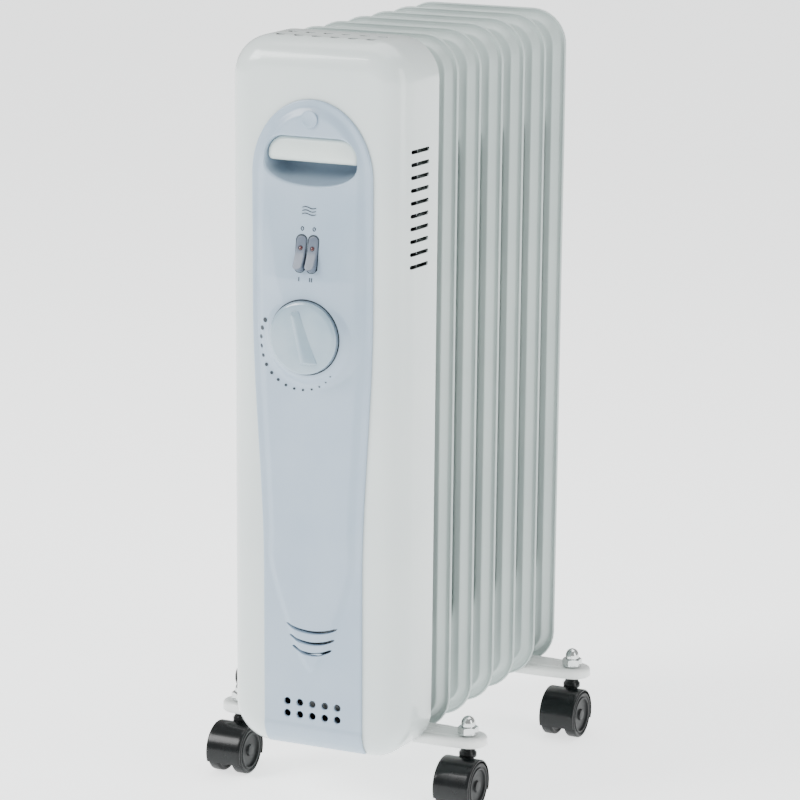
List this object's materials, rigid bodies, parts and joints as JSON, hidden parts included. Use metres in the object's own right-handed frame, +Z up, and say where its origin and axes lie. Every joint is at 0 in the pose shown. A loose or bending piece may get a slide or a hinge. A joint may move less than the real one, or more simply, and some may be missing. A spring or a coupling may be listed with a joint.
{
  "type": "oil filled radiator heater",
  "caption": "Free-standing oil filled column radiator: ribbed steel fins, a front control housing with carry recess, thermostat knob and two rockers, on twin wheel castors.",
  "frame": {"origin": "on the floor, under the middle of the bounding box", "axes": "+Z up, +X to the right seen from the control panel, -Y out of the control panel"},
  "size_m": [0.242, 0.3598, 0.632],
  "materials": {
    "fin_enamel": "satin baked enamel on pressed steel",
    "housing_enamel": "gloss baked enamel",
    "panel_plastic": "satin moulded ABS, pale blue grey",
    "white_plastic": "satin moulded ABS, off white",
    "knob_plastic": "gloss moulded ABS",
    "rocker_plastic": "moulded polyamide, grey",
    "red_lens": "polished polycarbonate, dark red",
    "black_plastic": "moulded polyamide, black",
    "bracket_enamel": "gloss baked enamel",
    "zinc": "bright zinc plate",
    "steel": "plain steel",
    "brass": "turned brass"
  },
  "bodies": {
    "heater": {"cable_gland": "black_plastic", "cap_nut_front_left": "zinc", "cap_nut_front_right": "zinc", "cap_nut_rear_left": "zinc", "cap_nut_rear_right": "zinc", "castor_stud_front_left": "zinc", "castor_stud_front_right": "zinc", "castor_stud_rear_left": "zinc", "castor_stud_rear_right": "zinc", "control_housing": "housing_enamel", "control_panel": "panel_plastic", "element_flange": "steel", "filler_plug": "steel", "fin_0": "fin_enamel", "fin_1": "fin_enamel", "fin_2": "fin_enamel", "fin_3": "fin_enamel", "fin_4": "fin_enamel", "fin_5": "fin_enamel", "fin_6": "fin_enamel", "foot_bracket_front": "bracket_enamel", "foot_bracket_rear": "bracket_enamel", "handle_grip": "white_plastic", "heat_shield": "steel", "heating_element": "steel", "panel_cap": "panel_plastic", "switch_body_1": "black_plastic", "switch_body_2": "black_plastic", "terminal_block": "white_plastic", "thermal_cutout": "black_plastic", "thermostat_body": "steel", "u_bolt_front": "zinc", "u_bolt_rear": "zinc", "wing_nut_front_left": "zinc", "wing_nut_front_right": "zinc", "wing_nut_rear_left": "zinc", "wing_nut_rear_right": "zinc"},
    "knob": {"thermostat_knob": "knob_plastic", "thermostat_shaft": "brass"},
    "rocker_low": {"rocker_1": "rocker_plastic", "rocker_lens_1": "red_lens"},
    "rocker_high": {"rocker_2": "rocker_plastic", "rocker_lens_2": "red_lens"},
    "castor_front_left": {"castor_hood_front_left": "black_plastic", "castor_axle_front_left": "steel"},
    "wheel_front_left_l_spin": {"wheel_front_left_l": "black_plastic"},
    "wheel_front_left_r_spin": {"wheel_front_left_r": "black_plastic"},
    "castor_front_right": {"castor_hood_front_right": "black_plastic", "castor_axle_front_right": "steel"},
    "wheel_front_right_l_spin": {"wheel_front_right_l": "black_plastic"},
    "wheel_front_right_r_spin": {"wheel_front_right_r": "black_plastic"},
    "castor_rear_left": {"castor_hood_rear_left": "black_plastic", "castor_axle_rear_left": "steel"},
    "wheel_rear_left_l_spin": {"wheel_rear_left_l": "black_plastic"},
    "wheel_rear_left_r_spin": {"wheel_rear_left_r": "black_plastic"},
    "castor_rear_right": {"castor_hood_rear_right": "black_plastic", "castor_axle_rear_right": "steel"},
    "wheel_rear_right_l_spin": {"wheel_rear_right_l": "black_plastic"},
    "wheel_rear_right_r_spin": {"wheel_rear_right_r": "black_plastic"}
  },
  "joints": [
    {"name": "knob_turn", "type": "hinge", "parent": "heater", "child": "knob", "pos_m": [0, -0.17146, 0.3975], "axis": [0, 1, 0], "range_deg": [-17, 120]},
    {"name": "rocker_low_tip", "type": "hinge", "parent": "heater", "child": "rocker_low", "pos_m": [-0.0052, -0.16611, 0.4635], "axis": [1, 0, 0], "range_deg": [0, 24]},
    {"name": "rocker_high_tip", "type": "hinge", "parent": "heater", "child": "rocker_high", "pos_m": [0.0052, -0.16611, 0.4635], "axis": [1, 0, 0], "range_deg": [0, 24]},
    {"name": "castor_front_left_swivel", "type": "hinge", "parent": "heater", "child": "castor_front_left", "pos_m": [-0.1049, -0.07674, 0.02], "axis": [0, 0, 1], "continuous": true},
    {"name": "wheel_front_left_l_roll", "type": "hinge", "parent": "castor_front_left", "child": "wheel_front_left_l_spin", "pos_m": [-0.1049, -0.08974, 0.02], "axis": [1, 0, 0], "continuous": true},
    {"name": "wheel_front_left_r_roll", "type": "hinge", "parent": "castor_front_left", "child": "wheel_front_left_r_spin", "pos_m": [-0.1049, -0.08974, 0.02], "axis": [1, 0, 0], "continuous": true},
    {"name": "castor_front_right_swivel", "type": "hinge", "parent": "heater", "child": "castor_front_right", "pos_m": [0.1049, -0.07674, 0.02], "axis": [0, 0, 1], "continuous": true},
    {"name": "wheel_front_right_l_roll", "type": "hinge", "parent": "castor_front_right", "child": "wheel_front_right_l_spin", "pos_m": [0.1049, -0.08974, 0.02], "axis": [1, 0, 0], "continuous": true},
    {"name": "wheel_front_right_r_roll", "type": "hinge", "parent": "castor_front_right", "child": "wheel_front_right_r_spin", "pos_m": [0.1049, -0.08974, 0.02], "axis": [1, 0, 0], "continuous": true},
    {"name": "castor_rear_left_swivel", "type": "hinge", "parent": "heater", "child": "castor_rear_left", "pos_m": [-0.1049, 0.14426, 0.02], "axis": [0, 0, 1], "continuous": true},
    {"name": "wheel_rear_left_l_roll", "type": "hinge", "parent": "castor_rear_left", "child": "wheel_rear_left_l_spin", "pos_m": [-0.1049, 0.13126, 0.02], "axis": [1, 0, 0], "continuous": true},
    {"name": "wheel_rear_left_r_roll", "type": "hinge", "parent": "castor_rear_left", "child": "wheel_rear_left_r_spin", "pos_m": [-0.1049, 0.13126, 0.02], "axis": [1, 0, 0], "continuous": true},
    {"name": "castor_rear_right_swivel", "type": "hinge", "parent": "heater", "child": "castor_rear_right", "pos_m": [0.1049, 0.14426, 0.02], "axis": [0, 0, 1], "continuous": true},
    {"name": "wheel_rear_right_l_roll", "type": "hinge", "parent": "castor_rear_right", "child": "wheel_rear_right_l_spin", "pos_m": [0.1049, 0.13126, 0.02], "axis": [1, 0, 0], "continuous": true},
    {"name": "wheel_rear_right_r_roll", "type": "hinge", "parent": "castor_rear_right", "child": "wheel_rear_right_r_spin", "pos_m": [0.1049, 0.13126, 0.02], "axis": [1, 0, 0], "continuous": true}
  ]
}
